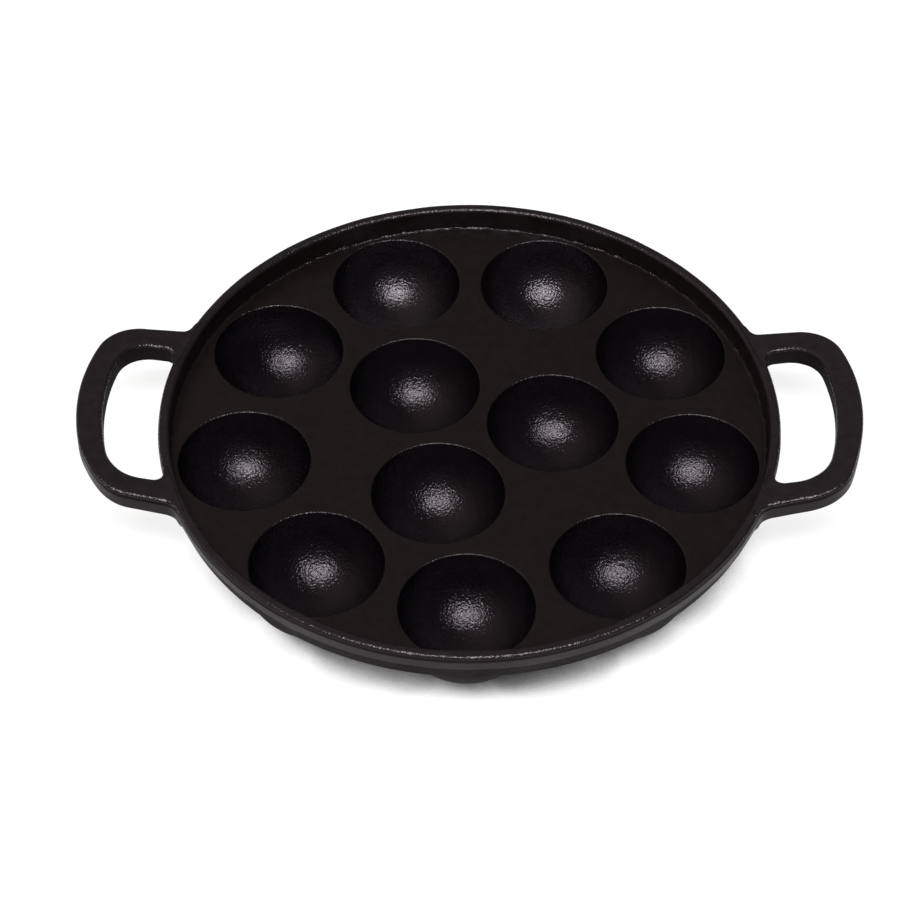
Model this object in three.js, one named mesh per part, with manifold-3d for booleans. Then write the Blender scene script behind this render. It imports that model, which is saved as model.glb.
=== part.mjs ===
// A cast-iron paniyaram pan: a shallow round tray with a raised rim, two loop handles that
// lie along X, and round-bottomed cooking cups hanging from the tray in two rings.
// Millimetres, +Z up. The origin is on the surface that the pan stands on, under the
// middle of the tray. The real pan is one casting; each named solid is one region of it.

import * as THREE from 'three';
import { mergeVertices } from 'three/addons/utils/BufferGeometryUtils.js';
import Module from 'manifold-3d';

const wasm = await Module();
wasm.setup();

// Driving dimensions

// Cups: a bowl sunk in the tray, with a flat land ground on the bottom to stand on
const outerCupCount = 9;
const innerCupCount = 3;
const firstOuterCupAngle = -Math.PI / 2;
const cupMouthRadius = 24.4;
const cupDepth = 23.5;
const cupWall = 3.2;
const cupLipRounding = 0.8;
const cupFootRadius = 6.5;
const cupClearGap = 0.6;

// Tray plate between the cups, and how near in pitches two cups are neighbours
const plateThickness = 3.8;
const plateEdgeWeb = 1.0;
const neighbourReach = 1.2;

// Rim round the tray: two drafted bands outside, a filleted crease inside
const rimHeight = 9.8;
const rimTopWidth = 4.2;
const rimInnerDraft = 0.25;
const rimUpperDraft = 0.6;
const rimBandHeight = 3.4;
const rimFootWidth = 0.9;
const rimOuterRounding = 1.5;
const rimInnerRounding = 1.0;
const rimFootRounding = 0.7;
const creaseRounding = 1.3;
const creaseLand = 0.2;

// Handles: flat loops that rise a little from the rim's top
const handleReach = 29.9;
const handleRootSpan = 87.5;
const handleArmWidth = 9.0;
const handleBarWidth = 9.8;
const handleThickness = 8.5;
const handleEdgeRounding = 1.3;
const handleTaper = THREE.MathUtils.degToRad(5.0);
const handleOpeningTaper = THREE.MathUtils.degToRad(9.2);
const handleRise = THREE.MathUtils.degToRad(10.6);
const handleEndRadius = 85.7;
const handleOpeningEndRadius = 82;
const handleCornerRadius = 19.2;
const handleOpeningCornerRadius = 13.8;
const handleRootFillet = 5.5;

// Gaps between the regions of the casting
const cupSeamGap = 0.15;
const webSeamGap = 0.15;
const rimSeamGap = 0.15;
const handleSeamGap = 0.3;

// Facets on the round forms
const cupSides = 24;
const bowlSteps = 5;
const rimSides = 84;
const roundingSteps = 2;
const handleArcSteps = 5;

// Points along an arc from one angle to another, both ends included
function arcPoints(centre, radius, fromAngle, toAngle, steps) {
  const points = [];
  for (let i = 0; i <= steps; i += 1) {
    const angle = THREE.MathUtils.lerp(fromAngle, toAngle, i / steps);
    const offset = new THREE.Vector2(Math.cos(angle), Math.sin(angle)).multiplyScalar(radius);
    points.push(offset.add(centre));
  }
  return points;
}

// The rounded form of one corner of a section, between the points before and after it
function roundedCorner(before, corner, after, radius) {
  const back = before.clone().sub(corner).normalize();
  const ahead = after.clone().sub(corner).normalize();
  const halfAngle = Math.acos(back.dot(ahead)) / 2;
  const middle = back.clone().add(ahead).normalize();
  const centre = corner.clone().addScaledVector(middle, radius / Math.sin(halfAngle));
  const tangentLength = radius / Math.tan(halfAngle);
  const start = corner.clone().addScaledVector(back, tangentLength).sub(centre).angle();
  const end = corner.clone().addScaledVector(ahead, tangentLength).sub(centre).angle();
  const turn = THREE.MathUtils.euclideanModulo(end - start + Math.PI, 2 * Math.PI) - Math.PI;
  return arcPoints(centre, radius, start, start + turn, roundingSteps);
}

// A section of radius and height, turned about the pan's Z axis
function turned(section, sides) {
  return new THREE.LatheGeometry(section, sides).rotateX(Math.PI / 2);
}

// Heights in the sections are measured from the tray's top surface

// The bowl is part of a sphere through the mouth's edge and the bowl's lowest point
const bowlRadius = (cupMouthRadius ** 2 + cupDepth ** 2) / (2 * cupDepth);
const bowlCentre = new THREE.Vector2(0, bowlRadius - cupDepth);
const cupOuterRadius = bowlRadius + cupWall;

// The lip's rounding touches the bowl and the tray's top surface
const lipCentre = new THREE.Vector2(
  Math.sqrt((bowlRadius + cupLipRounding) ** 2 - (bowlCentre.y + cupLipRounding) ** 2),
  -cupLipRounding,
);
const lipAngle = Math.atan2(lipCentre.y - bowlCentre.y, lipCentre.x - bowlCentre.x);

// Under the plate a cup spreads to its shoulder; through the plate it is a narrower neck
const shoulderAngle = Math.asin((-plateThickness - bowlCentre.y) / cupOuterRadius);
const shoulderRadius = cupOuterRadius * Math.cos(shoulderAngle);
const cupWidestRadius = cupOuterRadius * Math.cos(Math.min(shoulderAngle, 0));
const neckRadius = (lipCentre.x + shoulderRadius) / 2;
const footAngle = -Math.acos(cupFootRadius / cupOuterRadius);
const footDepth = -(bowlCentre.y + cupOuterRadius * Math.sin(footAngle));

// The tray's top surface stands this high when the cups rest on their feet
const plateTop = footDepth;

// Cup rings: the inner cups touch all but the clear gap, and each faces between two outer ones
const cupPitch = 2 * cupWidestRadius + cupClearGap;
const outerCupAngles = Array.from({ length: outerCupCount }, (_, i) => (
  firstOuterCupAngle + (i * 2 * Math.PI) / outerCupCount
));
const firstInnerCupAngle = (outerCupAngles[2] + outerCupAngles[3]) / 2;
const innerCupAngles = Array.from({ length: innerCupCount }, (_, i) => (
  firstInnerCupAngle + (i * 2 * Math.PI) / innerCupCount
));
const innerRingRadius = cupPitch / (2 * Math.sin(Math.PI / innerCupCount));

// The least outer ring whose cups keep the pitch to their neighbours and to the inner cups
let outerRingRadius = cupPitch / (2 * Math.sin(Math.PI / outerCupCount));
for (const innerAngle of innerCupAngles) {
  for (const outerAngle of outerCupAngles) {
    const sideways = innerRingRadius * Math.sin(outerAngle - innerAngle);
    const towards = innerRingRadius * Math.cos(outerAngle - innerAngle);
    const clear = towards + Math.sqrt(Math.max(cupPitch ** 2 - sideways ** 2, 0));
    outerRingRadius = Math.max(outerRingRadius, clear);
  }
}

function cupGeometry() {
  const section = [
    new THREE.Vector2(0, -footDepth),
    ...arcPoints(bowlCentre, cupOuterRadius, footAngle, shoulderAngle, bowlSteps),
    new THREE.Vector2(neckRadius, -plateThickness),
    new THREE.Vector2(neckRadius, 0),
    ...arcPoints(lipCentre, cupLipRounding, Math.PI / 2, lipAngle + Math.PI, roundingSteps),
    ...arcPoints(bowlCentre, bowlRadius, lipAngle, -Math.PI / 2, bowlSteps).slice(1, -1),
    new THREE.Vector2(0, -cupDepth),
  ];
  return turned(section, cupSides);
}

// Plate: a disc with one hole for each cup's neck
const plateHoleRadius = neckRadius + cupSeamGap;
const plateRadius = outerRingRadius + plateHoleRadius + plateEdgeWeb;

function cupPlaces() {
  const place = (angle, radius) => new THREE.Vector2(Math.cos(angle), Math.sin(angle)).multiplyScalar(radius);
  return {
    outer: outerCupAngles.map((angle) => place(angle, outerRingRadius)),
    inner: innerCupAngles.map((angle) => place(angle, innerRingRadius)),
  };
}

function plateGeometry(cups) {
  const centre = new THREE.Vector2(0, 0);
  const circle = (middle, radius, sides) => (
    arcPoints(middle, radius, 0, 2 * Math.PI, sides).slice(0, sides)
  );
  const disc = new THREE.Shape(circle(centre, plateRadius, rimSides));
  for (const cup of cups) {
    disc.holes.push(new THREE.Path(circle(cup, plateHoleRadius, cupSides)));
  }
  const geometry = new THREE.ExtrudeGeometry(disc, { depth: plateThickness, bevelEnabled: false });
  return geometry.translate(0, 0, -plateThickness);
}

// A slot one seam wide through the plate, from one point to another
function partingSlot(from, to) {
  const along = to.clone().sub(from);
  const middle = from.clone().add(to).divideScalar(2);
  const slot = new THREE.BoxGeometry(along.length(), webSeamGap, 3 * plateThickness);
  return slot.rotateZ(along.angle()).translate(middle.x, middle.y, 0);
}

// The plate parts where it is narrowest, between neighbouring cups and between cup and rim
function plateWebs(places) {
  const cups = [...places.outer, ...places.inner];
  const slots = places.outer.map((cup) => partingSlot(cup, cup.clone().setLength(2 * plateRadius)));
  cups.forEach((cup, i) => {
    const neighbours = cups.slice(i + 1).filter((other) => cup.distanceTo(other) < neighbourReach * cupPitch);
    slots.push(...neighbours.map((other) => partingSlot(cup, other)));
  });
  const parted = toSolid(plateGeometry(cups)).subtract(wasm.Manifold.union(slots.map(toSolid)));
  return parted.decompose().map(toGeometry);
}

// Webs named by where they lie, each ring numbered anticlockwise from the front cup
function namedWebs(places) {
  const rings = { centre: [], ring: [], edge: [] };
  for (const geometry of plateWebs(places)) {
    geometry.computeBoundingBox();
    const middle = geometry.boundingBox.getCenter(new THREE.Vector3());
    const reach = Math.hypot(middle.x, middle.y);
    const turn = THREE.MathUtils.euclideanModulo(
      Math.atan2(middle.y, middle.x) - firstOuterCupAngle,
      2 * Math.PI,
    );
    if (reach < innerRingRadius / 2) {
      rings.centre.push({ geometry, turn });
    } else if (reach < outerRingRadius) {
      rings.ring.push({ geometry, turn });
    } else {
      rings.edge.push({ geometry, turn });
    }
  }
  return Object.entries(rings).flatMap(([ring, webs]) => (
    webs.sort((one, other) => one.turn - other.turn).map(({ geometry }, i) => ({
      name: webs.length > 1 ? `${ring}_web_${i + 1}` : `${ring}_web`,
      geometry,
    }))
  ));
}

// Rim: it sits on the plate's edge and wraps down round it to the plate's underside
const creaseToeRadius = outerRingRadius + lipCentre.x + creaseLand;
const rimInnerRadius = creaseToeRadius + creaseRounding;
const rimTopInnerRadius = rimInnerRadius + rimInnerDraft;
const rimOuterRadius = rimTopInnerRadius + rimTopWidth;
const rimBandRadius = rimOuterRadius - rimUpperDraft;
const rimRebateRadius = plateRadius + rimSeamGap;
const rimFootRadius = rimRebateRadius + rimFootWidth;

function rimGeometry() {
  const toe = new THREE.Vector2(creaseToeRadius, 0);
  const crease = new THREE.Vector2(rimInnerRadius, 0);
  const topInner = new THREE.Vector2(rimTopInnerRadius, rimHeight);
  const topOuter = new THREE.Vector2(rimOuterRadius, rimHeight);
  const band = new THREE.Vector2(rimBandRadius, rimBandHeight);
  const foot = new THREE.Vector2(rimFootRadius, -plateThickness);
  const rebateFoot = new THREE.Vector2(rimRebateRadius, -plateThickness);
  const rebateTop = new THREE.Vector2(rimRebateRadius, 0);
  const section = [
    toe,
    rebateTop,
    rebateFoot,
    ...roundedCorner(rebateFoot, foot, band, Math.min(rimFootRounding, rimFootWidth)),
    band,
    ...roundedCorner(band, topOuter, topInner, rimOuterRounding),
    ...roundedCorner(topOuter, topInner, crease, rimInnerRounding),
    ...roundedCorner(topInner, crease, toe, creaseRounding).slice(0, -1),
    toe.clone(),
  ];
  return turned(section, rimSides);
}

// Handle outline: each edge of an arm runs straight, with a fillet where it leaves the rim, a
// corner arc, and a shallow arc across the end; the lower half mirrors the upper one
const handleTip = rimOuterRadius + handleReach;
const handleHalfSpan = handleRootSpan / 2;
const openingHalfSpan = handleHalfSpan - handleArmWidth;

// One edge of the loop, from inside the rim round the end and back; halfSpan is where the edge
// meets the rim, and outward is 1 for the outside of the loop and -1 for the finger opening
function handleEdge(halfSpan, taper, outward, cornerRadius, endRadius, tip) {
  const alongArm = new THREE.Vector2(Math.cos(taper), -Math.sin(taper));
  const acrossArm = new THREE.Vector2(Math.sin(taper), Math.cos(taper));
  const rootPoint = new THREE.Vector2(Math.sqrt(rimOuterRadius ** 2 - halfSpan ** 2), halfSpan);
  const offset = rootPoint.dot(acrossArm);

  function pointOnArm(across, along) {
    return acrossArm.clone().multiplyScalar(across).addScaledVector(alongArm, along);
  }

  const rootCircle = rimOuterRadius + handleRootFillet;
  const filletOffset = offset + outward * handleRootFillet;
  const filletCentre = pointOnArm(filletOffset, Math.sqrt(rootCircle ** 2 - filletOffset ** 2));
  const rootAngle = filletCentre.angle();
  const armAngle = acrossArm.angle();
  const filletStart = rootAngle + Math.PI;
  const filletEnd = outward > 0 ? armAngle + Math.PI : armAngle;
  const inRim = new THREE.Vector2(Math.cos(rootAngle), Math.sin(rootAngle));
  inRim.multiplyScalar(rimOuterRadius - handleArmWidth);

  const endCentre = new THREE.Vector2(tip - endRadius, 0);
  const cornerOffset = offset - cornerRadius;
  const endReach = (endRadius - cornerRadius) ** 2 - (cornerOffset - endCentre.dot(acrossArm)) ** 2;
  const cornerCentre = pointOnArm(cornerOffset, endCentre.dot(alongArm) + Math.sqrt(endReach));
  const endAngle = cornerCentre.clone().sub(endCentre).angle();

  const upper = [
    inRim,
    ...arcPoints(filletCentre, handleRootFillet, filletStart, filletEnd, handleArcSteps),
    ...arcPoints(cornerCentre, cornerRadius, armAngle, endAngle, handleArcSteps),
    ...arcPoints(endCentre, endRadius, endAngle, 0, handleArcSteps).slice(1),
  ];
  const lower = upper.slice(0, -1).reverse().map((point) => new THREE.Vector2(point.x, -point.y));
  return [...upper, ...lower];
}

function toSolid(geometry) {
  const bare = geometry.clone();
  bare.deleteAttribute('normal');
  bare.deleteAttribute('uv');
  const merged = mergeVertices(bare);
  return new wasm.Manifold(new wasm.Mesh({
    numProp: 3,
    vertProperties: Float32Array.from(merged.attributes.position.array),
    triVerts: Uint32Array.from(merged.index.array),
  }));
}

function toGeometry(solid) {
  const mesh = solid.getMesh();
  const geometry = new THREE.BufferGeometry();
  geometry.setAttribute('position', new THREE.BufferAttribute(mesh.vertProperties, 3));
  geometry.setIndex(new THREE.BufferAttribute(mesh.triVerts, 1));
  geometry.computeVertexNormals();
  return geometry;
}

// The space that the rim takes from a handle: everything inside the rim's outer faces and a seam gap
function rimCutGeometry() {
  const low = -plateThickness - handleThickness;
  const high = rimHeight + handleThickness;
  const section = [
    new THREE.Vector2(0, low),
    new THREE.Vector2(rimFootRadius + handleSeamGap, low),
    new THREE.Vector2(rimFootRadius + handleSeamGap, -plateThickness),
    new THREE.Vector2(rimBandRadius + handleSeamGap, rimBandHeight),
    new THREE.Vector2(rimOuterRadius + handleSeamGap, rimHeight),
    new THREE.Vector2(rimOuterRadius + handleSeamGap, high),
    new THREE.Vector2(0, high),
  ];
  return turned(section, rimSides);
}

function handleGeometry() {
  const outside = handleEdge(
    handleHalfSpan,
    handleTaper,
    1,
    handleCornerRadius,
    handleEndRadius,
    handleTip,
  );
  const opening = handleEdge(
    openingHalfSpan,
    handleOpeningTaper,
    -1,
    handleOpeningCornerRadius,
    handleOpeningEndRadius,
    handleTip - handleBarWidth,
  );
  const loop = new THREE.Shape([...outside, ...opening.reverse()]);
  const blank = new THREE.ExtrudeGeometry(loop, {
    depth: handleThickness - 2 * handleEdgeRounding,
    bevelThickness: handleEdgeRounding,
    bevelSize: handleEdgeRounding,
    bevelOffset: -handleEdgeRounding,
    bevelSegments: roundingSteps,
  });

  // The loop rises outwards from a line across the rim, where the insides of its arms meet the
  // rim; its walls stay upright, the way the pattern left the sand
  const hingeLine = Math.sqrt(rimOuterRadius ** 2 - openingHalfSpan ** 2);
  blank.translate(-hingeLine, 0, handleEdgeRounding - handleThickness);
  blank.applyMatrix4(new THREE.Matrix4().makeShear(0, Math.tan(handleRise), 0, 0, 0, 0));
  blank.translate(hingeLine, 0, rimHeight);
  return toGeometry(toSolid(blank).subtract(toSolid(rimCutGeometry())));
}

// Seasoned iron: near black, a little lighter on the faces that hands and lids rub
function seasonedIron(colour, roughness) {
  return new THREE.MeshStandardMaterial({ color: colour, roughness, metalness: 0.3 });
}

const pan = new THREE.Group();
pan.position.z = plateTop;

function addRegion(name, geometry, colour, roughness) {
  const mesh = new THREE.Mesh(geometry, seasonedIron(colour, roughness));
  mesh.name = name;
  pan.add(mesh);
  return mesh;
}

const places = cupPlaces();
for (const { name, geometry } of namedWebs(places)) {
  addRegion(name, geometry, 0x1c1819, 0.5);
}
addRegion('rim_wall', rimGeometry(), 0x242021, 0.5);
for (const ring of ['outer', 'inner']) {
  places[ring].forEach((place, i) => {
    const cup = addRegion(`${ring}_cup_${i + 1}`, cupGeometry(), 0x141114, 0.42);
    cup.position.set(place.x, place.y, 0);
  });
}
addRegion('handle_right', handleGeometry(), 0x262223, 0.5);
addRegion('handle_left', handleGeometry(), 0x262223, 0.5).rotation.z = Math.PI;

export default pan;
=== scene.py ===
# %% [markdown]
# # A cast-iron paniyaram pan
# The pan is one sand casting: a shallow round tray with a raised rim, two loop handles and two rings of
# round-bottomed cups that cook balls of batter. It is coated in black, baked-on oil, so nearly all that
# the eye sees is the sheen on its grain and the thin bright lines along its worn edges. The lesson first
# loads the engineering model, whose places and sizes every piece here keeps.

# %% Load the frame
import math

import bpy
from mathutils import Euler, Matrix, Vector


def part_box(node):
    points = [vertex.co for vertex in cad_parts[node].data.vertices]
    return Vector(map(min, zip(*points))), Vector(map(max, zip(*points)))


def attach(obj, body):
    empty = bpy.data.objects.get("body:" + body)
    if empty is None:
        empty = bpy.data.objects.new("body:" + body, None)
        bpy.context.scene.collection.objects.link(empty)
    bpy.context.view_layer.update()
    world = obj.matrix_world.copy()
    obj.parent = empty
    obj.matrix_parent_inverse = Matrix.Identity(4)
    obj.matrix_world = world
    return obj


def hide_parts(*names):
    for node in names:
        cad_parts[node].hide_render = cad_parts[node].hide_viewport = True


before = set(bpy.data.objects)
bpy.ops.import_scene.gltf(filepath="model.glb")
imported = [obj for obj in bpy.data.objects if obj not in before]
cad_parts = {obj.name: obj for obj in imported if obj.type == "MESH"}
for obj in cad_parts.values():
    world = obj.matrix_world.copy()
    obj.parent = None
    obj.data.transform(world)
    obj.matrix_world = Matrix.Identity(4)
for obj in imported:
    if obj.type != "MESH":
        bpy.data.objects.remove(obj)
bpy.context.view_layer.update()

MM = 0.001
plate_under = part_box("centre_web")[0].z
plate_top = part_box("centre_web")[1].z
rim_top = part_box("rim_wall")[1].z
print("tray at", round(plate_top / MM, 2), "mm, rim top at", round(rim_top / MM, 2), "mm")

# %% [markdown]
# ## Sections
# Rim and cups are round, so each is drawn as half a cross-section and spun about its axis. The real
# moulder does the same with a strickle board that sweeps sand round a post. A section is a list of
# points, radius and height above the tray in millimetres. Two helpers make its curves: an arc, and a
# corner rounded to a radius. A third adds points on the straight stretches, for the later displacement to
# move.

# %% Section helpers
def arc(centre, radius, start, end, steps):
    """Points of an arc between two angles in degrees, both ends included."""
    points = []
    for i in range(steps + 1):
        angle = math.radians(start + (end - start) * i / steps)
        points.append(Vector((centre[0] + radius * math.cos(angle), centre[1] + radius * math.sin(angle))))
    return points


def rounded(before, corner, after, radius, steps):
    """Points of the arc that rounds a corner between two straight lines."""
    before, corner, after = Vector(before), Vector(corner), Vector(after)
    back = (before - corner).normalized()
    ahead = (after - corner).normalized()
    half = back.angle(ahead) / 2
    centre = corner + (back + ahead).normalized() * radius / math.sin(half)
    first = corner + back * radius / math.tan(half) - centre
    last = corner + ahead * radius / math.tan(half) - centre
    start = math.degrees(math.atan2(first.y, first.x))
    turn = math.degrees(math.atan2(last.y, last.x)) - start
    turn = (turn + 180) % 360 - 180
    return arc(centre, radius, start, start + turn, steps)


def divided(points, step):
    """The same line with points added so that no stretch is longer than the step."""
    line = [Vector(points[0])]
    for point in points[1:]:
        start = line[-1]
        stretch = Vector(point) - start
        pieces = max(1, math.ceil(stretch.length / step))
        line.extend(start + stretch * i / pieces for i in range(1, pieces + 1))
    return line


print(len(rounded((0, 1), (0, 0), (1, 0), radius=0.5, steps=6)), "points round a corner")

# %% [markdown]
# ## From a section to a solid
# By hand one would merge a plane to a single vertex, extrude that vertex along the section and press
# Spin. The helpers below do just that. Spin repeats the first ring as the last, and repeats the points on
# the axis, so the doubles are merged before the normals are turned outwards.

# %% Selection and lines
def clear_selection():
    """Leaves edit mode and deselects everything, so that an operator acts on one piece only."""
    if bpy.context.mode != "OBJECT":
        bpy.ops.object.mode_set(mode="OBJECT")
    bpy.ops.object.select_all(action="DESELECT")


def pick(piece):
    """Makes one piece the only selected object, and the active one."""
    clear_selection()
    piece.select_set(True)
    bpy.context.view_layer.objects.active = piece


def named(piece, name):
    """Gives a piece and its mesh one name."""
    piece.name = name
    piece.data.name = name
    return piece


def add_point(point):
    """Adds a plane of a millimetre, merges it to one vertex and moves that to the point."""
    bpy.ops.mesh.primitive_plane_add(size=MM)
    if bpy.context.mode == "OBJECT":
        bpy.ops.object.mode_set(mode="EDIT")
        bpy.ops.mesh.select_all(action="SELECT")
    bpy.ops.mesh.merge(type="CENTER")
    bpy.ops.transform.translate(value=point)


def start_from_point(name, point):
    """A new piece of one vertex at the point, selected in edit mode."""
    clear_selection()
    add_point(point)
    return named(bpy.context.object, name)


def draw_line(points):
    """Extrudes the selected vertex, which stands on the first point, along the others."""
    for start, end in zip(points, points[1:]):
        bpy.ops.mesh.extrude_region_move(TRANSFORM_OT_translate={"value": end - start})


print("solids left selected by the load:", len(bpy.context.selected_objects))

# %% Spin
MERGE_DISTANCE = 0.01


def spin_section(name, section, steps, closed):
    """Spins a section of radius and height about Z, joining its ends first where it is a closed ring."""
    points = [Vector((radius * MM, 0, plate_top + height * MM)) for radius, height in section]
    piece = start_from_point(name, points[0])
    draw_line(points)
    bpy.ops.mesh.select_all(action="SELECT")
    if closed:
        bpy.ops.mesh.remove_doubles(threshold=MERGE_DISTANCE * MM)
    bpy.ops.mesh.spin(steps=steps, angle=math.tau, center=(0, 0, 0), axis=(0, 0, 1))
    bpy.ops.mesh.select_all(action="SELECT")
    bpy.ops.mesh.remove_doubles(threshold=MERGE_DISTANCE * MM)
    bpy.ops.mesh.normals_make_consistent(inside=False)
    bpy.ops.object.mode_set(mode="OBJECT")
    return piece


print("doubles closer than", MERGE_DISTANCE, "mm are merged")

# %% [markdown]
# ## The rim
# The rim stands 10 mm above the tray. Its top falls a little towards the outside, between two rounded
# edges. Some 3 mm below the top is the parting line, where the two halves of the mould met. Below that
# line the wall leans in, in two bands of different slope, so that the pattern leaves the sand. A small
# hollow fillet joins the rim to the tray. The foot wraps round the tray's edge, and the strip under the
# tray's top is out of sight.

# %% Rim sizes
CREASE_TOE = 109.55
RIM_INNER = 110.35
RIM_TOP_INNER = 110.40
RIM_TOP_OUTER = 114.55
RIM_FALL = 0.3
PARTING = 114.70
PARTING_HEIGHT = 6.9
RIM_BAND = 114.20
RIM_BAND_HEIGHT = 2.7
TRAY_EDGE = 111.2
RIM_FOOT = 112.2
STRIP_DEPTH = 0.3
RIM_WEAR = 0.2
RIM_HEIGHT = (rim_top - plate_top) / MM - RIM_WEAR
TRAY_THICKNESS = (plate_top - plate_under) / MM
print("rim", round(RIM_HEIGHT, 2), "mm high on a tray", round(TRAY_THICKNESS, 2), "mm thick")

# %% Rim
TOP_INNER_ROUNDING = 1.6
TOP_OUTER_ROUNDING = 1.5
CREASE_ROUNDING = 0.85
BAND_ROUNDING = 1.2
FOOT_ROUNDING = 0.5
RIM_STRETCH = 1.1
ROUND_STEPS = 720

toe = (CREASE_TOE, 0)
crease = (RIM_INNER, 0)
top_inner = (RIM_TOP_INNER, RIM_HEIGHT)
top_outer = (RIM_TOP_OUTER, RIM_HEIGHT - RIM_FALL)
parting = (PARTING, PARTING_HEIGHT)
band = (RIM_BAND, RIM_BAND_HEIGHT)
foot = (RIM_FOOT, -TRAY_THICKNESS)
edge_foot = (TRAY_EDGE, -TRAY_THICKNESS)
rim_section = [
    toe,
    (CREASE_TOE, -STRIP_DEPTH),
    (TRAY_EDGE, -STRIP_DEPTH),
    edge_foot,
    *rounded(edge_foot, foot, band, FOOT_ROUNDING, steps=4),
    *rounded(foot, band, parting, BAND_ROUNDING, steps=3),
    parting,
    *rounded(parting, top_outer, top_inner, TOP_OUTER_ROUNDING, steps=8),
    *rounded(top_outer, top_inner, crease, TOP_INNER_ROUNDING, steps=8),
    *rounded(top_inner, crease, toe, CREASE_ROUNDING, steps=6),
    toe,
]
rim = spin_section("rim", divided(rim_section, RIM_STRETCH), ROUND_STEPS, closed=True)
print("rim:", len(rim.data.polygons), "faces")

# %% [markdown]
# ## The cups
# Each cup is a bowl a little shallower than half a ball, with a softly rounded lip and an even wall.
# Outside, a fillet carries it into the tray's underside and a flat land is ground on the bottom to stand
# on. One cup is modelled on the axis and copied to the twelve places of the engineering model, each copy
# with its own mesh.

# %% Cup sizes
BOWL_MOUTH = 24.4
BOWL_DEPTH = 23.5
CUP_WALL = 3.2
LIP_ROUNDING = 0.6
LAND_RADIUS = 6.5
LAND_ROUNDING = 0.5
CUP_FILLET = 1.0
FILLET_TUCK = 0.3

bowl_radius = (BOWL_MOUTH ** 2 + BOWL_DEPTH ** 2) / (2 * BOWL_DEPTH)
bowl_height = bowl_radius - BOWL_DEPTH
shell_radius = bowl_radius + CUP_WALL
lip_reach = math.sqrt((bowl_radius + LIP_ROUNDING) ** 2 - (bowl_height + LIP_ROUNDING) ** 2)
lip_angle = math.degrees(math.atan2(-LIP_ROUNDING - bowl_height, lip_reach))
land_angle = -math.degrees(math.acos(LAND_RADIUS / shell_radius))
land_height = bowl_height + shell_radius * math.sin(math.radians(land_angle))
shoulder = math.sqrt(shell_radius ** 2 - (TRAY_THICKNESS + bowl_height) ** 2)
neck_radius = (lip_reach + shoulder) / 2
fillet_height = -TRAY_THICKNESS - CUP_FILLET
fillet_reach = math.sqrt((shell_radius + CUP_FILLET) ** 2 - (fillet_height - bowl_height) ** 2)
fillet_angle = math.degrees(math.atan2(fillet_height - bowl_height, fillet_reach))
print("bowl of radius", round(bowl_radius, 2), "mm, lip from", round(lip_reach, 2), "mm")

# %% Cup
CUP_STRETCH = 1.6
CUP_STEPS = 144

bowl_centre = (0, bowl_height)
land_middle = (0, land_height)
land_edge = (LAND_RADIUS, land_height)
fillet_centre = (fillet_reach, fillet_height)
lip_centre = (lip_reach, -LIP_ROUNDING)
tuck_height = FILLET_TUCK - TRAY_THICKNESS
shell = arc(bowl_centre, shell_radius, land_angle, fillet_angle, steps=20)
cup_section = [
    land_middle,
    *rounded(land_middle, land_edge, shell[1], LAND_ROUNDING, steps=3),
    *shell[1:],
    *arc(fillet_centre, CUP_FILLET, fillet_angle + 180, 90, steps=5)[1:],
    (fillet_reach, tuck_height),
    (neck_radius, tuck_height),
    (neck_radius, 0),
    *arc(lip_centre, LIP_ROUNDING, 90, lip_angle + 180, steps=8),
    *arc(bowl_centre, bowl_radius, lip_angle, -90, steps=30)[1:],
]
cup_pattern = spin_section("cup", divided(cup_section, CUP_STRETCH), CUP_STEPS, closed=False)
print("cup:", len(cup_pattern.data.polygons), "faces")

# %% Twelve cups
def copy_of(pattern, name):
    """A copy of a piece with its own mesh, selected."""
    pick(pattern)
    bpy.ops.object.duplicate(linked=False)
    return named(bpy.context.object, name)


def middle_of(node):
    """The middle of a solid in the plan, at height zero."""
    low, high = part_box(node)
    return Vector(((low.x + high.x) / 2, (low.y + high.y) / 2, 0))


cups = {}
for node in sorted(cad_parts):
    if "_cup_" in node:
        ring, _, number = node.split("_")
        cups[node] = copy_of(cup_pattern, f"cup_{ring}_{number}")
        bpy.ops.transform.translate(value=middle_of(node))
        bpy.ops.object.transform_apply(location=True, rotation=False, scale=False)
pick(cup_pattern)
bpy.ops.object.delete()
print(len(cups), "cups")

# %% [markdown]
# ## The tray plate
# The plate is the flat floor between the cups. It starts as one large circle with a smaller circle for
# each cup, which Fill turns into a sheet with holes, and it is then extruded down to its thickness. The
# holes have as many sides as the cups, so the two surfaces meet edge to edge, as in one casting.

# %% Tray plate
clear_selection()
bpy.ops.mesh.primitive_circle_add(vertices=ROUND_STEPS, radius=TRAY_EDGE * MM)
plate = named(bpy.context.object, "tray_plate")
bpy.ops.object.mode_set(mode="EDIT")
for node in cups:
    bpy.ops.mesh.primitive_circle_add(vertices=CUP_STEPS, radius=neck_radius * MM, location=middle_of(node))
bpy.ops.mesh.select_all(action="SELECT")
bpy.ops.mesh.fill(use_beauty=True)
bpy.ops.mesh.select_all(action="SELECT")
bpy.ops.transform.translate(value=(0, 0, plate_top))
bpy.ops.mesh.extrude_region_move(TRANSFORM_OT_translate={"value": (0, 0, plate_under - plate_top)})
bpy.ops.mesh.select_all(action="SELECT")
bpy.ops.mesh.normals_make_consistent(inside=False)
bpy.ops.object.mode_set(mode="OBJECT")
print("tray plate:", len(plate.data.polygons), "faces")

# %% [markdown]
# ## The handles
# Each handle is a flat loop that springs from the rim's top with small fillets and rises a little
# outwards, so that fingers clear the hob. The two edges of the loop are drawn as lines of equal point
# count, bridged into a band, extruded to the bar's thickness and bevelled all round. The band starts
# inside the rim, where its rounded end is out of sight. The second handle is the first turned half round.

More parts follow.
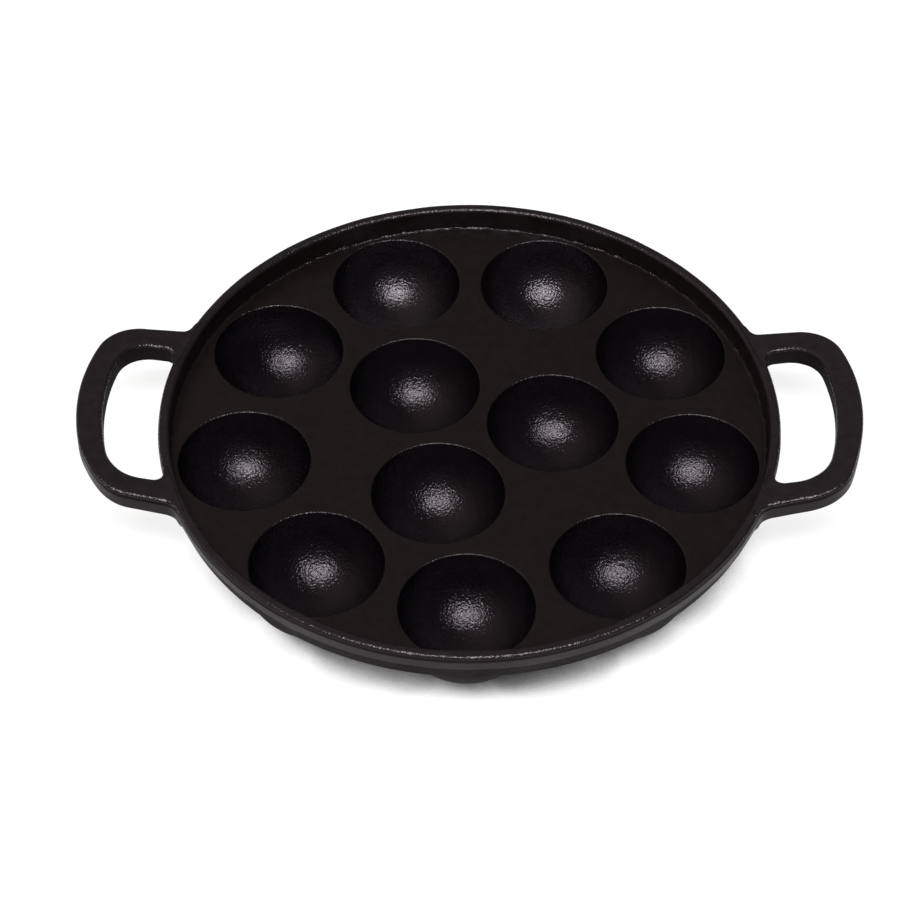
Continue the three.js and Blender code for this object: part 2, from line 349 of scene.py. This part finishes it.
# %% Handle sizes
HANDLE_TIP = 144.35
HANDLE_SPAN = 87.5
HANDLE_ARM = 10.9
HANDLE_BAR = 9.75
HANDLE_THICKNESS = 8.45
HANDLE_PARTING = 2.7
HANDLE_ROUNDING = 1.5
HANDLE_SEAT = 0.35
HANDLE_SLOPE = 10.6
HANDLE_HINGE = 107.5
OUTER_TAPER = 5.0
OUTER_FILLET = 5.5
OUTER_CORNER = 19.2
OUTER_END = 85.7
INNER_TAPER = 0
INNER_FILLET = 3.5
INNER_CORNER = 13.8
INNER_END = 89.6
print("finger gap", round(HANDLE_TIP - HANDLE_BAR - PARTING, 2), "mm deep")

# %% Edges of the loop
HANDLE_POINTS = 190
# Radius of each point of the band's end inside the rim, and how far it lies aside of the fillet
SUNK_END = ((111.7, 3.9), (113.2, 3.7), (114.1, 3.0), (114.5, 1.8), (114.65, 0.8))


def spaced(points, count):
    """The same line drawn with a number of evenly spaced points."""
    lengths = [0]
    for start, end in zip(points, points[1:]):
        lengths.append(lengths[-1] + (end - start).length)
    line = []
    i = 0
    for k in range(count):
        distance = lengths[-1] * k / (count - 1)
        while i < len(points) - 2 and lengths[i + 1] < distance:
            i += 1
        share = (distance - lengths[i]) / (lengths[i + 1] - lengths[i])
        line.append(points[i].lerp(points[i + 1], min(share, 1)))
    return line


def loop_edge(half_span, taper, outward, fillet, corner_radius, end_radius, tip):
    """One edge of the loop from inside the rim round the end and back; outward is 1 outside and -1 inside."""
    along_arm = Vector((math.cos(math.radians(taper)), -math.sin(math.radians(taper))))
    across_arm = Vector((-along_arm.y, along_arm.x))
    arm_angle = 90 - taper
    offset = Vector((math.sqrt(PARTING ** 2 - half_span ** 2), half_span)).dot(across_arm)
    root_offset = offset + outward * fillet
    root_along = math.sqrt((PARTING + fillet) ** 2 - root_offset ** 2)
    root_centre = across_arm * root_offset + along_arm * root_along
    root_angle = math.atan2(root_centre.y, root_centre.x)
    end_centre = Vector((tip - end_radius, 0))
    corner_offset = offset - corner_radius
    reach = (end_radius - corner_radius) ** 2 - (corner_offset - end_centre.dot(across_arm)) ** 2
    corner_along = end_centre.dot(along_arm) + math.sqrt(reach)
    corner_centre = across_arm * corner_offset + along_arm * corner_along
    from_end = corner_centre - end_centre
    end_angle = math.degrees(math.atan2(from_end.y, from_end.x))

    sunk = []
    for radius, aside in SUNK_END:
        angle = root_angle + outward * aside / PARTING
        sunk.append(Vector((radius * math.cos(angle), radius * math.sin(angle))))
    root_start = math.degrees(root_angle) + 180
    root_end = arm_angle + 180 if outward > 0 else arm_angle
    upper = [
        *sunk,
        *arc(root_centre, fillet, root_start, root_end, steps=10),
        *arc(corner_centre, corner_radius, arm_angle, end_angle, steps=24),
        *arc(end_centre, end_radius, end_angle, 0, steps=40)[1:],
    ]
    lower = [Vector((point.x, -point.y)) for point in reversed(upper[:-1])]
    return spaced(upper + lower, HANDLE_POINTS + 1)


outer_span = HANDLE_SPAN / 2
inner_span = HANDLE_SPAN / 2 - HANDLE_ARM
inner_tip = HANDLE_TIP - HANDLE_BAR
outer_edge = loop_edge(outer_span, OUTER_TAPER, 1, OUTER_FILLET, OUTER_CORNER, OUTER_END, HANDLE_TIP)
inner_edge = loop_edge(inner_span, INNER_TAPER, -1, INNER_FILLET, INNER_CORNER, INNER_END, inner_tip)
print("loop edges of", len(outer_edge), "points")

# %% Loop band
BAND_CUTS = 5
SHARP_EDGE = 60
BEVEL_SEGMENTS = 6


def on_rim_top(points):
    """Points of the plan, in millimetres, as places level with the outside of the rim's top."""
    return [Vector((point.x * MM, point.y * MM, rim_top - HANDLE_SEAT * MM)) for point in points]


outer_line = on_rim_top(outer_edge)
inner_line = on_rim_top(inner_edge)
handle_right = start_from_point("loop_handle_right", outer_line[0])
draw_line(outer_line)
bpy.ops.mesh.select_all(action="DESELECT")
add_point(inner_line[0])
draw_line(inner_line)
bpy.ops.mesh.select_all(action="SELECT")
bpy.ops.mesh.bridge_edge_loops(number_cuts=BAND_CUTS, interpolation="LINEAR")
bpy.ops.mesh.select_all(action="SELECT")
for drop in (HANDLE_PARTING, HANDLE_THICKNESS - HANDLE_PARTING):
    bpy.ops.mesh.extrude_region_move(TRANSFORM_OT_translate={"value": (0, 0, -drop * MM)})
bpy.ops.mesh.select_all(action="SELECT")
bpy.ops.mesh.normals_make_consistent(inside=False)
bpy.ops.mesh.select_mode(type="EDGE")
bpy.ops.mesh.select_all(action="DESELECT")
bpy.ops.mesh.edges_select_sharp(sharpness=math.radians(SHARP_EDGE))
bpy.ops.mesh.bevel(offset=HANDLE_ROUNDING * MM, segments=BEVEL_SEGMENTS, affect="EDGES")
bpy.ops.mesh.select_mode(type="VERT")
bpy.ops.object.mode_set(mode="OBJECT")
print("loop band:", len(handle_right.data.polygons), "faces")

# %% Rise of the loop
HANDLE_RISE = math.tan(math.radians(HANDLE_SLOPE))
RISE_FADE = (113.2, 117.5)


def smooth_step(low, high, value):
    """0 below low, 1 above high and a smooth ramp between."""
    share = min(max((value - low) / (high - low), 0), 1)
    return share * share * (3 - 2 * share)


def handle_lift(x, y):
    """How far a handle rises above its seat at a place in the plan, all in millimetres."""
    return max(abs(x) - HANDLE_HINGE, 0) * HANDLE_RISE * smooth_step(*RISE_FADE, math.hypot(x, y))


for vertex in handle_right.data.vertices:
    vertex.co.z += handle_lift(vertex.co.x / MM, vertex.co.y / MM) * MM
handle_left = copy_of(handle_right, "loop_handle_left")
handle_left.rotation_euler = (0, 0, math.pi)
bpy.ops.object.transform_apply(location=False, rotation=True, scale=False)
print("handles rise to", round(max(v.co.z for v in handle_right.data.vertices) / MM, 2), "mm")

# %% [markdown]
# ## Cast unevenness
# Sand leaves no surface quite true: walls wander by a tenth of a millimetre or two, and the crease inside
# the rim is lumpy. A Displace modifier with a cloud texture gives that. It reads the shared coordinates,
# so two pieces that meet move alike, and a vertex group keeps it off the seams. A short rule per piece
# gives the weight of that group at each place, from 0 for none to 1 for full.

# %% Weights on the rim
INNER_FACE = RIM_TOP_INNER + 0.5
OUTER_FOOT_FADE = (-TRAY_THICKNESS, -TRAY_THICKNESS + 1.5)
INNER_FOOT_FADE = (0.1, 2.0)
CREASE_RISE = (0.02, 0.4)
CREASE_FALL = (1.2, 2.6)


def reach_and_height(place):
    """How far a place lies from the pan's axis, and how high above the tray."""
    return math.hypot(place.x, place.y), place.z - plate_top / MM


def rim_weight(place):
    """None on the hidden foot and at the toe of the crease, full on the walls and the top."""
    reach, height = reach_and_height(place)
    fade = OUTER_FOOT_FADE if reach > RIM_FOOT else INNER_FOOT_FADE
    return smooth_step(*fade, height)


def crease_weight(place):
    """Full in the middle of the crease, none at its toe and up the wall."""
    reach, height = reach_and_height(place)
    if reach > INNER_FACE:
        return 0
    return smooth_step(*CREASE_RISE, height) * (1 - smooth_step(*CREASE_FALL, height))


print("weight on the rim's top:", rim_weight(Vector((RIM_TOP_OUTER, 0, rim_top / MM))))

# %% Weights on handles and cups
HANDLE_FADE = (111.0, 113.0)
LAND_FADE = (0.2, 1.2)
LIP_FADE = (-2.5, -0.1)


def handle_weight(place):
    """Full outside the rim's top."""
    return smooth_step(*HANDLE_FADE, math.hypot(place.x, place.y))


def bowl_weight(place):
    """None on the flat of the tray and on the land, full a little below the lip."""
    return smooth_step(*LAND_FADE, place.z) * (1 - smooth_step(*LIP_FADE, place.z - plate_top / MM))


print("weight at a handle's tip:", handle_weight(Vector((HANDLE_TIP, 0, 0))))

# %% [markdown]
# ## Faults of this casting
# The pan also has faults of its own, which are moved into the mesh vertex by vertex. One core sat a
# little off its place in the mould, so the bowl of the left cup leans from its lip towards the right. The
# right side is half a millimetre out of round. The near corner of the left handle is filed back, and that
# of the right handle is full.

# %% Move the faulty places
LEANING_CUP = "outer_cup_7"
CORE_SHIFT = Vector((2.6, -1.1, 0))
CORE_DEPTH = (1, 12)
OUT_OF_ROUND = Vector((0.45, 0, 0))
RIGHT_SIDE = (60, 110)
FILED_CORNER = Vector((1.3, 0.6, 0))
FULL_CORNER = Vector((0, -0.9, 0))
CORNER_OUT = (124, 140)
CORNER_NEAR = (20, 35)

for vertex in cups[LEANING_CUP].data.vertices:
    depth = (plate_top - vertex.co.z) / MM
    vertex.co += CORE_SHIFT * MM * smooth_step(*CORE_DEPTH, depth)
for piece, weight in ((rim, rim_weight), (handle_right, handle_weight)):
    for vertex in piece.data.vertices:
        place = vertex.co / MM
        vertex.co += OUT_OF_ROUND * MM * smooth_step(*RIGHT_SIDE, place.x) * weight(place)
for handle, side, shift in ((handle_left, -1, FILED_CORNER), (handle_right, 1, FULL_CORNER)):
    for vertex in handle.data.vertices:
        place = vertex.co / MM
        out = smooth_step(*CORNER_OUT, side * place.x)
        vertex.co += shift * MM * out * smooth_step(*CORNER_NEAR, -place.y)
print("the bowl of", cups[LEANING_CUP].name, "leans", round(CORE_SHIFT.length, 2), "mm")

# %% Displace the castings
WANDER_SIZE = 14
WANDER = 0.22
WANDER_MIDDLE = 0.7
LUMP_SIZE = 2.4
LUMP = 1.5
BOWL_WANDER_SIZE = 9
BOWL_WANDER = 0.14


def uneven(piece, weight, size, strength, middle=0.5):
    """Moves a piece's surface by a cloud texture of a size in mm, as far as the weight at a place says."""
    group = piece.vertex_groups.new(name="cast")
    for vertex in piece.data.vertices:
        group.add([vertex.index], weight(vertex.co / MM), "REPLACE")
    clouds = bpy.data.textures.new(f"{piece.name}_clouds", type="CLOUDS")
    clouds.noise_scale = size * MM
    clouds.noise_depth = 1
    pick(piece)
    displace = piece.modifiers.new("cast", "DISPLACE")
    displace.texture = clouds
    displace.texture_coords = "LOCAL"
    displace.vertex_group = group.name
    displace.strength = strength * MM
    displace.mid_level = middle
    bpy.ops.object.modifier_apply(modifier=displace.name)
    piece.vertex_groups.clear()


uneven(rim, rim_weight, WANDER_SIZE, WANDER, WANDER_MIDDLE)
uneven(rim, crease_weight, LUMP_SIZE, LUMP)
for handle in (handle_right, handle_left):
    uneven(handle, handle_weight, WANDER_SIZE, WANDER, WANDER_MIDDLE)
for cup in cups.values():
    uneven(cup, bowl_weight, BOWL_WANDER_SIZE, BOWL_WANDER)
print("uneven castings:", 3 + len(cups))

# %% [markdown]
# ## Smooth shading
# Rounded edges are smooth and true corners stay sharp. Weighted normals keep the broad flats flat beside
# the narrow roundings, so that the roundings alone catch the light.

# %% Shade the pieces
SMOOTH_ANGLE = 40

pieces = [rim, plate, handle_right, handle_left, *cups.values()]
for piece in pieces:
    pick(piece)
    bpy.ops.object.shade_smooth_by_angle(angle=math.radians(SMOOTH_ANGLE))
    weighted = piece.modifiers.new("weighted", "WEIGHTED_NORMAL")
    weighted.keep_sharp = True
    bpy.ops.object.modifier_apply(modifier=weighted.name)
print(len(pieces), "pieces shaded")

# %% [markdown]
# ## Seasoned iron
# The coat is oil baked on to grainy iron: almost black, slightly warm, with a satin sheen that breaks
# into specks on the sand's grain. Three sizes of noise on Object coordinates make it: the grain itself,
# just under a millimetre across, a mottling of some 4 mm where the oil pooled, and broad patches of wear.
# All pieces lie in one frame, so the pattern runs on from piece to piece.

# %% Node helpers
def noise(nodes, links, coordinates, scale, detail, roughness=0.5):
    """A noise texture on the object's coordinates."""
    texture = nodes.new("ShaderNodeTexNoise")
    texture.inputs["Scale"].default_value = scale
    texture.inputs["Detail"].default_value = detail
    texture.inputs["Roughness"].default_value = roughness
    links.new(coordinates, texture.inputs["Vector"])
    return texture.outputs["Fac"]


def ranged(nodes, links, value, low, high, start=0.3, end=0.7):
    """A value taken from the range between start and end to the one between low and high."""
    mapped = nodes.new("ShaderNodeMapRange")
    mapped.inputs["From Min"].default_value = start
    mapped.inputs["From Max"].default_value = end
    mapped.inputs["To Min"].default_value = low
    mapped.inputs["To Max"].default_value = high
    links.new(value, mapped.inputs["Value"])
    return mapped.outputs["Result"]


def maths(nodes, links, operation, *terms):
    """A Math node on its terms, each of them a socket or a number."""
    node = nodes.new("ShaderNodeMath")
    node.operation = operation
    for socket, term in zip(node.inputs, terms):
        if isinstance(term, bpy.types.NodeSocket):
            links.new(term, socket)
        else:
            socket.default_value = term
    return node.outputs["Value"]


def bump(nodes, links, height, distance, below=None):
    """A bump of a height in millimetres, on top of another bump where one is given."""
    node = nodes.new("ShaderNodeBump")
    node.inputs["Strength"].default_value = 1
    node.inputs["Distance"].default_value = distance * MM
    links.new(height, node.inputs["Height"])
    if below is not None:
        links.new(below, node.inputs["Normal"])
    return node.outputs["Normal"]


print("materials so far:", len(bpy.data.materials))

# %% Iron material
PATCH_SCALE = 40
MOTTLING_SCALE = 240
GRAIN_SCALE = 1250
MOTTLING_HEIGHT = 0.12
MOTTLING_WEAR = 0.5
WEAR_START = 0.55
WEAR_END = 0.95
SHEEN_TINT = (1, 0.9, 1, 1)


def seasoned_iron(name, colours, smooth, rough, grain, gloss):
    """Black seasoned iron between two colours and two roughnesses, with grain of a height in millimetres."""
    dark, light = colours
    material = bpy.data.materials.new(name)
    material.use_nodes = True
    nodes = material.node_tree.nodes
    links = material.node_tree.links
    shader = nodes["Principled BSDF"]
    shader.inputs["IOR"].default_value = gloss
    shader.inputs["Specular Tint"].default_value = SHEEN_TINT
    coordinates = nodes.new("ShaderNodeTexCoord").outputs["Object"]

    patches = noise(nodes, links, coordinates, PATCH_SCALE, detail=2)
    mottling = noise(nodes, links, coordinates, MOTTLING_SCALE, detail=3, roughness=0.6)
    grains = noise(nodes, links, coordinates, GRAIN_SCALE, detail=1.5, roughness=0.55)

    tint = nodes.new("ShaderNodeMix")
    tint.data_type = "RGBA"
    tint.inputs["A"].default_value = (*dark, 1)
    tint.inputs["B"].default_value = (*light, 1)
    links.new(ranged(nodes, links, mottling, 0, 1), tint.inputs["Factor"])
    links.new(tint.outputs["Result"], shader.inputs["Base Color"])

    wear = maths(nodes, links, "MULTIPLY_ADD", mottling, MOTTLING_WEAR, patches)
    roughness = ranged(nodes, links, wear, smooth, rough, WEAR_START, WEAR_END)
    links.new(roughness, shader.inputs["Roughness"])

    cast = bump(nodes, links, mottling, MOTTLING_HEIGHT)
    links.new(bump(nodes, links, grains, grain, cast), shader.inputs["Normal"])
    return material


print("grain of", round(1 / GRAIN_SCALE / MM, 2), "mm")

# %% [markdown]
# ## Eight finishes
# The finishes share one recipe. Use has made them differ: the tray is plain, two bowls are shinier than
# the others, lips and crease are worn, and hands and spoons have polished the upper edges. The bowls are
# blacker in colour, which is painted shade in the hollow of each cup. The flat tops and the outer walls are
# satin, and the tops' lighter colour is partly painted sheen from the lamp. The outside that nothing
# touches keeps the rough skin left by the sand. The colours are linear light, so these dark values look
# less black than they read.

# %% Finishes
TRAY_COLOURS = (0.0062, 0.0047, 0.0043), (0.0089, 0.0068, 0.0062)
# The bowls' colours are blacker than the tray's: painted shade in the hollow of each cup.
BOWL_SHADE_COLOURS = (0.0022, 0.0017, 0.0024), (0.0035, 0.0027, 0.0037)
WORN_COLOURS = (0.0045, 0.0035, 0.0036), (0.0066, 0.0052, 0.0054)
EDGE_COLOURS = (0.0090, 0.0066, 0.0069), (0.0135, 0.0104, 0.0108)
# The tops' colour is lighter than the tray's: partly painted sheen from the lamp on the level tops.
TOP_SHEEN_COLOURS = (0.0160, 0.0132, 0.0141), (0.0225, 0.0190, 0.0202)
WALL_COLOURS = (0.0135, 0.0100, 0.0105), (0.0200, 0.0153, 0.0159)
SKIN_COLOURS = (0.0100, 0.0076, 0.0079), (0.0150, 0.0118, 0.0122)

tray_iron = seasoned_iron("tray_iron", TRAY_COLOURS, smooth=0.26, rough=0.36, grain=0.09, gloss=1.42)
# Both bowl finishes carry the blacker colour, which is painted shade inside the cups.
bowl_iron_painted_shade = seasoned_iron("bowl_iron_painted_shade", BOWL_SHADE_COLOURS, smooth=0.18, rough=0.24, grain=0.23, gloss=1.43)
shiny_iron = seasoned_iron("shiny_iron", BOWL_SHADE_COLOURS, smooth=0.17, rough=0.22, grain=0.22, gloss=1.54)
worn_iron = seasoned_iron("worn_iron", WORN_COLOURS, smooth=0.20, rough=0.28, grain=0.30, gloss=1.48)
edge_iron = seasoned_iron("edge_iron", EDGE_COLOURS, smooth=0.20, rough=0.28, grain=0.26, gloss=1.52)
# Finish of the level tops, whose lighter colour is partly painted sheen.
top_iron_painted_sheen = seasoned_iron("top_iron_painted_sheen", TOP_SHEEN_COLOURS, smooth=0.45, rough=0.55, grain=0.09, gloss=1.18)
outer_iron = seasoned_iron("outer_iron", WALL_COLOURS, smooth=0.40, rough=0.52, grain=0.09, gloss=1.27)
rough_iron = seasoned_iron("rough_iron", SKIN_COLOURS, smooth=0.65, rough=0.80, grain=0.20, gloss=1.18)
FINISHES = (tray_iron, bowl_iron_painted_shade, shiny_iron, worn_iron, edge_iron, top_iron_painted_sheen, outer_iron, rough_iron)
print("finishes:", [finish.name for finish in FINISHES])

# %% [markdown]
# ## Which face has which finish
# Each face takes its finish from where it lies: a lip or an edge by its height and slope, the inside of a
# cup by its face pointing to the middle of the bowl. A short rule per piece names the finish of a face.
# The slopes are heights of the face's normal: 1 for a level face that looks up, 0 for an upright wall.

# %% Rules for tray and rim
LOOKING_UP = 0.5
LEVEL = 0.97
STEEP = 0.3
UPPER_EDGE = 0.6
RIM_TOP = 0.9
SLACK = 0.5


def plate_finish(place, normal):
    """Smooth above, rough below."""
    return tray_iron if normal.z > LOOKING_UP else rough_iron


def rim_finish(place, normal):
    """Polished top edges, the tray's finish inside, rough above the parting line and on the lower band."""
    reach, height = reach_and_height(place)
    sloping = STEEP < normal.z < LEVEL
    if sloping and height < RIM_HEIGHT / 2:
        return worn_iron
    if sloping and (reach < PARTING - TOP_OUTER_ROUNDING or normal.z > UPPER_EDGE):
        return edge_iron
    if reach < INNER_FACE:
        return tray_iron
    # Level tops outside take the finish whose lighter colour is partly painted sheen.
    if normal.z > RIM_TOP:
        return top_iron_painted_sheen
    outside = reach > RIM_FOOT - SLACK and height < RIM_HEIGHT - TOP_OUTER_ROUNDING
    if outside and not RIM_BAND_HEIGHT < height < PARTING_HEIGHT:
        return rough_iron
    return outer_iron


print("rim's top takes", rim_finish(Vector((RIM_TOP_OUTER, 0, rim_top / MM)), Vector((0, 0, 1))).name)

# %% Rules for handles and cups
HANDLE_WALL = 0.25
HANDLE_TOP = 0.94


def handle_finish(place, normal):
    """Polished upper edges on a satin loop, rough in the opening and above the parting line."""
    # Level tops take the finish whose lighter colour is partly painted sheen.
    if normal.z > HANDLE_WALL:
        return edge_iron if normal.z < HANDLE_TOP else top_iron_painted_sheen
    opening = Vector((math.copysign(HANDLE_TIP - 2 * HANDLE_BAR, place.x), 0, place.z))
    depth = rim_top / MM - HANDLE_SEAT + handle_lift(place.x, place.y) - place.z
    return rough_iron if depth < HANDLE_PARTING or normal.dot(opening - place) > 0 else outer_iron


def cup_finish(middle, inside):
    """The rule for a cup whose bowl has its centre at the point and this finish inside."""
    def finish(place, normal):
        depth = plate_top / MM - place.z
        if normal.dot(place - middle) > 0 and depth > TRAY_THICKNESS - SLACK:
            return rough_iron
        if depth > LIP_ROUNDING:
            return inside
        return worn_iron if normal.z < LEVEL else tray_iron
    return finish


print("handle's end takes", handle_finish(Vector((HANDLE_TIP, 0, rim_top / MM)), Vector((1, 0, 0))).name)

# %% Finishes on the faces
SHINY_CUPS = ("outer_cup_5", "outer_cup_6")


def finish_faces(piece, rule):
    """Gives every face of a piece the finish that the rule names for its place, in mm, and its normal."""
    for finish in FINISHES:
        piece.data.materials.append(finish)
    for face in piece.data.polygons:
        face.material_index = FINISHES.index(rule(face.center / MM, face.normal))


finish_faces(plate, plate_finish)
finish_faces(rim, rim_finish)
for handle in (handle_right, handle_left):
    finish_faces(handle, handle_finish)
for node, cup in cups.items():
    middle = middle_of(node) / MM
    middle.z = plate_top / MM + bowl_height
    # The bowl finishes have a blacker colour, which is painted shade in the hollow.
    finish_faces(cup, cup_finish(middle, shiny_iron if node in SHINY_CUPS else bowl_iron_painted_shade))
print("finished faces:", sum(len(piece.data.polygons) for piece in pieces))

# %% [markdown]
# ## Standing in for the solids
# Each piece rides on the pan's one body and takes the place of the solids that it shows.

# %% Ride and replace
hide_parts("rim_wall")
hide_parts(*(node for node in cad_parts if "_web" in node))
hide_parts("handle_right")
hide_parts("handle_left")
for node, cup in cups.items():
    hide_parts(node)
for piece in pieces:
    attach(piece, "root")
print("the pieces stand for", len(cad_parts), "solids")

# %% [markdown]
# ## Table, light and camera
# The pan stands on a white table that fills the view. The table adds a little glow of its own for the
# camera and for reflections only, so that it reads white. Ambient occlusion tells how far the pan covers
# a place on the table, and the glow fades there, so the shadow under the pan stays dark. Its normal leans
# a little to the back left, so the shade reaches further to the front right. One wide soft lamp above the
# pan, towards the camera, puts a broad sheen in every cup. The room itself is dim, with a warm side high
# on the left, like a lit wall, and a front that is a little lighter.

# %% Table
TABLE_SIZE = 12
TABLE_WHITE = 0.35
TABLE_ROUGHNESS = 0.9

clear_selection()
bpy.ops.mesh.primitive_plane_add(size=TABLE_SIZE)
table = bpy.context.object
table.name = "table"
table_white = bpy.data.materials.new("table_white")
table_white.use_nodes = True
table_nodes = table_white.node_tree.nodes
table_links = table_white.node_tree.links
table_shader = table_nodes["Principled BSDF"]
table_shader.inputs["Base Color"].default_value = (TABLE_WHITE, TABLE_WHITE, TABLE_WHITE, 1)
table_shader.inputs["Roughness"].default_value = TABLE_ROUGHNESS
table_shader.inputs["Specular IOR Level"].default_value = 0
table_shader.inputs["Emission Color"].default_value = (1, 1, 1, 1)
table.data.materials.append(table_white)
print("table of", round(table.dimensions.x, 1), "m")

# %% Glow of the table
TABLE_GLOW = 0.84
COVER_DISTANCE = 0.035
COVER_CONTRAST = 6
COVER_GAIN = 240
COVER_LEAN = (-0.12, 0.06, 0.99)

rays = table_nodes.new("ShaderNodeLightPath")
seen = rays.outputs["Is Camera Ray"]
for kind in ("Is Glossy Ray", "Is Transmission Ray"):
    seen = maths(table_nodes, table_links, "MAXIMUM", seen, rays.outputs[kind])
glow = maths(table_nodes, table_links, "MULTIPLY", seen, TABLE_GLOW)
lean = table_nodes.new("ShaderNodeCombineXYZ")
for socket, share in zip(lean.inputs, COVER_LEAN):
    socket.default_value = share
cover = table_nodes.new("ShaderNodeAmbientOcclusion")
cover.inputs["Distance"].default_value = COVER_DISTANCE
table_links.new(lean.outputs["Vector"], cover.inputs["Normal"])
open_share = maths(table_nodes, table_links, "POWER", cover.outputs["AO"], COVER_CONTRAST)
lit_share = maths(table_nodes, table_links, "MULTIPLY", open_share, COVER_GAIN)
lit_share.node.use_clamp = True
open_glow = maths(table_nodes, table_links, "MULTIPLY", glow, lit_share)
table_links.new(open_glow, table_shader.inputs["Emission Strength"])
print("table material of", len(table_nodes), "nodes")

# %% Room light
ROOM_DARK = (0.08, 0.08, 0.08, 1)
WARM_SIDE = Vector((-0.6, 0, 0.8)), (0.42, 0.34, 0.31, 1), 0.5
FRONT_SIDE = Vector((0, -0.92, 0.39)), (0.17, 0.17, 0.17, 1), 0.6

world = bpy.data.worlds.new("room")
world.use_nodes = True
room_nodes = world.node_tree.nodes
room_links = world.node_tree.links
outwards = room_nodes.new("ShaderNodeTexCoord").outputs["Generated"]
room_colour = room_nodes.new("ShaderNodeRGB").outputs["Color"]
room_colour.default_value = ROOM_DARK
for side, colour, edge in (WARM_SIDE, FRONT_SIDE):
    towards = room_nodes.new("ShaderNodeVectorMath")
    towards.operation = "DOT_PRODUCT"
    towards.inputs[1].default_value = side
    room_links.new(outwards, towards.inputs[0])
    nearness = ranged(room_nodes, room_links, towards.outputs["Value"], 0, 1, start=edge, end=1)
    lit = room_nodes.new("ShaderNodeMix")
    lit.data_type = "RGBA"
    lit.inputs["B"].default_value = colour
    room_links.new(room_colour, lit.inputs["A"])
    room_links.new(nearness, lit.inputs["Factor"])
    room_colour = lit.outputs["Result"]
room_links.new(room_colour, room_nodes["Background"].inputs["Color"])
bpy.context.scene.world = world
print("room light with", len(room_nodes), "nodes")

# %% Lamp
LAMP_ELEVATION = 65
LAMP_AZIMUTH = 0
LAMP_DISTANCE = 3.6
LAMP_WIDTH = 2.6
LAMP_HEIGHT = 0.75
LAMP_POWER = 108

lamp_tilt = math.radians(90 - LAMP_ELEVATION)
lamp_turn = Euler((lamp_tilt, 0, math.radians(LAMP_AZIMUTH)))
lamp_place = lamp_turn.to_matrix() @ Vector((0, 0, LAMP_DISTANCE)) + Vector((0, 0, plate_top))
clear_selection()
bpy.ops.object.light_add(type="AREA", location=lamp_place, rotation=lamp_turn)
lamp = bpy.context.object
lamp.name = "soft_lamp"
lamp.data.shape = "RECTANGLE"
lamp.data.size = LAMP_WIDTH
lamp.data.size_y = LAMP_HEIGHT
lamp.data.energy = LAMP_POWER
print("lamp at", [round(x, 2) for x in lamp_place])

# %% Camera
CAMERA_PLACE = (6.91, -787.09, 850.32)
CAMERA_ELEVATION = 47.524
CAMERA_AZIMUTH = 1.01
CAMERA_ROLL = -0.427
CAMERA_SENSOR = 36
CAMERA_LENS = 124.8

camera_tilt = Euler((math.radians(90 - CAMERA_ELEVATION), 0, math.radians(CAMERA_AZIMUTH))).to_matrix()
camera_roll = Euler((0, 0, math.radians(CAMERA_ROLL))).to_matrix()
bpy.ops.object.camera_add(
    location=(CAMERA_PLACE[0] * MM, CAMERA_PLACE[1] * MM, plate_top + CAMERA_PLACE[2] * MM),
    rotation=(camera_tilt @ camera_roll).to_euler(),
)
camera = bpy.context.object
camera.data.sensor_width = CAMERA_SENSOR
camera.data.lens = CAMERA_LENS
bpy.context.scene.camera = camera
bpy.context.scene.view_settings.view_transform = "Standard"
print("camera at", [round(x, 3) for x in camera.location])
